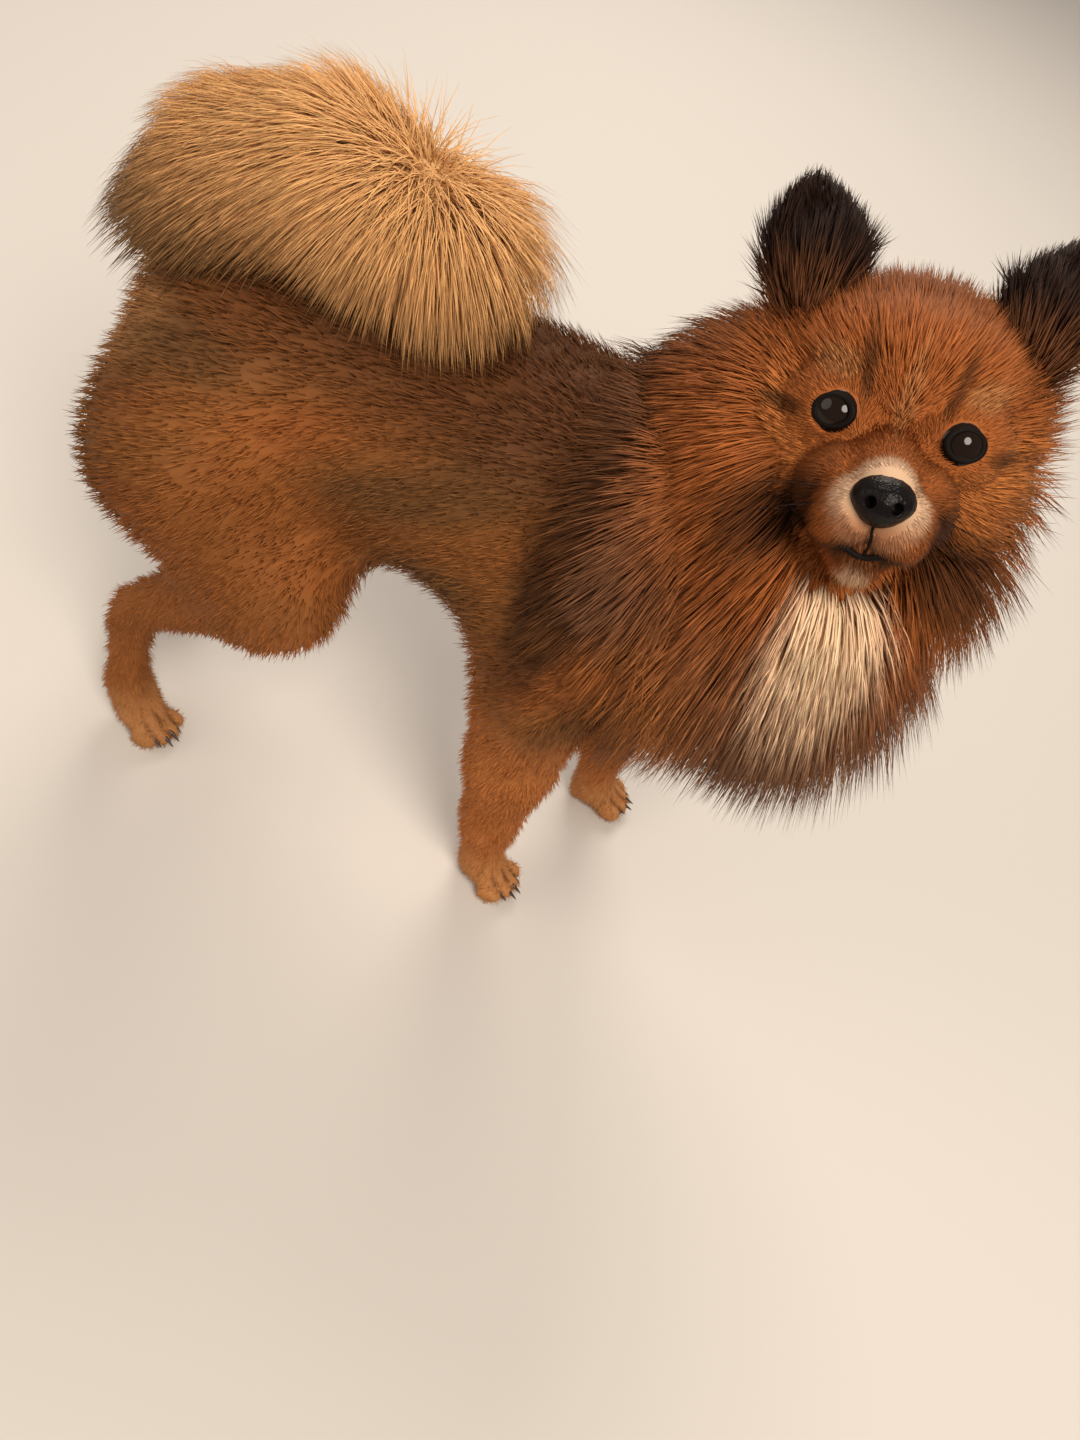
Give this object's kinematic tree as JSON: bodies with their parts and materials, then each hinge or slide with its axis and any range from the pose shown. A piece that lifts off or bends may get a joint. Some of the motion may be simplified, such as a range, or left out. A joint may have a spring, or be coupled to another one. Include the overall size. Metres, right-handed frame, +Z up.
{
  "type": "pomeranian dog model",
  "caption": "Life-size still model of a standing orange sable Pomeranian with a clipped body coat, full ruff and plumed tail, its head turned to its right.",
  "frame": {"origin": "on the floor under the middle of the dog, the bottom centre of its bounding box", "axes": "+X towards the chest, +Y to the dog's left side, +Z up"},
  "size_m": [0.3394, 0.1666, 0.351],
  "materials": {
    "coat_orange": "soft short orange hair with darker tips, matt",
    "coat_sable": "long sable hair in orange and dark brown bands, matt",
    "coat_cream": "long pale golden hair with grey-brown tips, matt",
    "coat_dark": "short near-black hair, matt",
    "eye": "dark brown eye under a clear glossy cornea",
    "nose_leather": "damp black grained skin",
    "claw_horn": "dark smooth horn"
  },
  "bodies": {
    "root": {"torso": "coat_orange", "leg_fore_right": "coat_orange", "leg_hind_right": "coat_orange", "leg_fore_left": "coat_orange", "leg_hind_left": "coat_orange", "neck": "coat_sable", "tail": "coat_cream", "head": "coat_orange", "nose": "nose_leather", "eye_left": "eye", "eye_right": "eye", "ear_left": "coat_dark", "ear_right": "coat_dark", "claw_fore_right_1": "claw_horn", "claw_fore_right_2": "claw_horn", "claw_fore_right_3": "claw_horn", "claw_fore_right_4": "claw_horn", "claw_fore_left_1": "claw_horn", "claw_fore_left_2": "claw_horn", "claw_fore_left_3": "claw_horn", "claw_fore_left_4": "claw_horn", "claw_hind_right_1": "claw_horn", "claw_hind_right_2": "claw_horn", "claw_hind_right_3": "claw_horn", "claw_hind_right_4": "claw_horn", "claw_hind_left_1": "claw_horn", "claw_hind_left_2": "claw_horn", "claw_hind_left_3": "claw_horn", "claw_hind_left_4": "claw_horn"}
  },
  "joints": []
}
